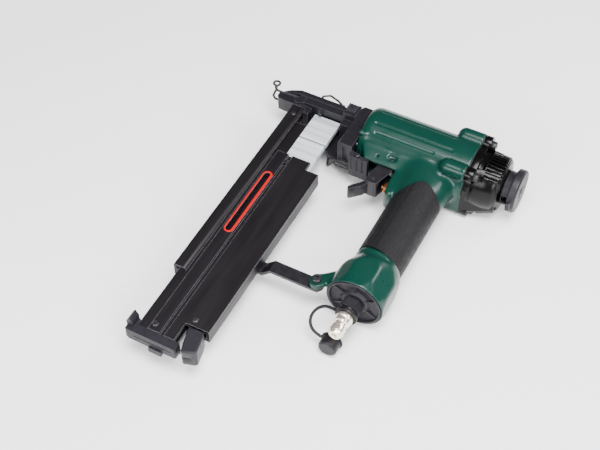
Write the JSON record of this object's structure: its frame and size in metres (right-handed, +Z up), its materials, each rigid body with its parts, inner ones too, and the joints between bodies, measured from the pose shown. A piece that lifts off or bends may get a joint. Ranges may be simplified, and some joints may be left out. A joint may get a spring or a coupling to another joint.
{
  "type": "staple gun",
  "caption": "Air-powered staple and brad gun with its sliding magazine drawn open, T-shaped body, rubber grip, nose safety and threaded-in air plug, lying on its side.",
  "frame": {"origin": "bottom centre of the whole tool's box, on the surface the tool lies on", "axes": "+X along the drive axis from the nose tip to the exhaust, -Y along the handle and magazine towards the air plug, +Z up through the thickness of the tool"},
  "size_m": [0.2869, 0.3512, 0.064],
  "materials": {
    "green_paint": "gloss",
    "grip_rubber": "textured",
    "black_plastic": "gloss",
    "black_satin_plastic": "satin",
    "black_steel": "satin",
    "black_anodised": "satin",
    "dark_screws": "satin",
    "bright_steel": "brushed",
    "staples": "brushed",
    "nickel": "polished",
    "brass": "satin",
    "aluminium": "satin",
    "seal_rubber": "matte",
    "soft_rubber": "matte",
    "red_trim": "gloss"
  },
  "bodies": {
    "gun": {"gun_body": "green_paint", "grip_sleeve": "grip_rubber", "cylinder_head": "black_plastic", "head_gasket": "seal_rubber", "head_bolts": "dark_screws", "deflector_screw": "dark_screws", "head_valve_spring": "bright_steel", "cylinder_sleeve": "aluminium", "sleeve_collar": "black_satin_plastic", "collar_seal": "seal_rubber", "bumper": "soft_rubber", "nose_body": "black_steel", "nose_bolts": "dark_screws", "door_hinge_pin": "dark_screws", "safety_guide": "black_satin_plastic", "guide_screw": "dark_screws", "safety_spring": "bright_steel", "magazine_rail": "black_anodised", "rail_screws": "dark_screws", "staple_strip": "staples", "pusher_spring": "bright_steel", "support_arm": "black_steel", "arm_screw": "dark_screws", "arm_nut": "dark_screws", "arm_rivets": "dark_screws", "trigger_pin": "dark_screws", "trigger_spring": "bright_steel", "trigger_valve": "brass", "valve_spring": "bright_steel", "handle_end_cap": "black_satin_plastic", "end_cap_seal": "seal_rubber", "inlet_adaptor": "dark_screws", "air_plug": "nickel", "dust_cap": "soft_rubber"},
    "deflector": {"exhaust_deflector": "black_satin_plastic"},
    "main_valve": {"head_valve": "aluminium", "head_valve_seal": "seal_rubber"},
    "driver": {"piston": "aluminium", "piston_seal": "seal_rubber", "driver_blade": "bright_steel", "blade_pin": "bright_steel"},
    "door": {"nose_door": "black_steel"},
    "bail": {"door_bail": "dark_screws"},
    "safety": {"safety_wire": "dark_screws", "safety_pad": "dark_screws"},
    "slider": {"magazine_slide": "black_anodised", "window_trim": "red_trim", "slide_end_cap": "black_satin_plastic", "end_cap_screw": "dark_screws", "latch_pin": "dark_screws", "latch_spring": "bright_steel"},
    "latch": {"slide_latch": "black_satin_plastic"},
    "pusher": {"pusher": "bright_steel"},
    "trigger": {"trigger": "black_steel", "lever_pin": "dark_screws"},
    "lever": {"trigger_lever": "bright_steel"},
    "stem": {"valve_stem": "brass"}
  },
  "joints": [
    {"name": "deflector_spin", "type": "hinge", "parent": "gun", "child": "deflector", "pos_m": [0.13425, 0.144, 0.032], "axis": [1, 0, 0], "continuous": true},
    {"name": "main_valve_slide", "type": "slide", "parent": "gun", "child": "main_valve", "axis": [1, 0, 0], "range_m": [0, 0.004], "stiffness_N_per_m": 400, "springref_m": -0.005, "deforming": ["head_valve_spring"]},
    {"name": "driver_slide", "type": "slide", "parent": "gun", "child": "driver", "axis": [1, 0, 0], "range_m": [-0.078, 0]},
    {"name": "door_hinge", "type": "hinge", "parent": "gun", "child": "door", "pos_m": [-0.04575, 0.1572, 0.032], "axis": [0, 0, -1], "range_deg": [0, 80]},
    {"name": "bail_hinge", "type": "hinge", "parent": "door", "child": "bail", "pos_m": [-0.06175, 0.162, 0.032], "axis": [0, 0, -1], "range_deg": [0, 75]},
    {"name": "safety_slide", "type": "slide", "parent": "gun", "child": "safety", "axis": [1, 0, 0], "range_m": [0, 0.0065], "stiffness_N_per_m": 250, "springref_m": -0.006, "deforming": ["safety_spring"]},
    {"name": "magazine_slide", "type": "slide", "parent": "gun", "child": "slider", "axis": [0, 1, 0], "range_m": [-0.02, 0.057], "deforming": ["pusher_spring"]},
    {"name": "latch_hinge", "type": "hinge", "parent": "slider", "child": "latch", "pos_m": [-0.05755, -0.1376, 0.032], "axis": [0, 0, 1], "range_deg": [-5, 0], "stiffness_Nm_per_rad": 0.4, "springref_deg": 6.88, "deforming": ["latch_spring"]},
    {"name": "pusher_slide", "type": "slide", "parent": "gun", "child": "pusher", "axis": [0, 1, 0], "range_m": [-0.018, 0], "stiffness_N_per_m": 60, "springref_m": 0.03, "deforming": ["pusher_spring"]},
    {"name": "trigger_hinge", "type": "hinge", "parent": "gun", "child": "trigger", "pos_m": [0.01805, 0.1119, 0.032], "axis": [0, 0, 1], "range_deg": [0, 10], "stiffness_Nm_per_rad": 0.25, "springref_deg": -14.32, "deforming": ["trigger_spring"]},
    {"name": "lever_hinge", "type": "hinge", "parent": "trigger", "child": "lever", "pos_m": [0.01085, 0.085, 0.032], "axis": [0, 0, -1], "range_deg": [0, 8]},
    {"name": "valve_stem_slide", "type": "slide", "parent": "gun", "child": "stem", "axis": [1, 0, 0], "range_m": [0, 0.0024], "stiffness_N_per_m": 300, "springref_m": -0.004, "deforming": ["valve_spring"]}
  ]
}
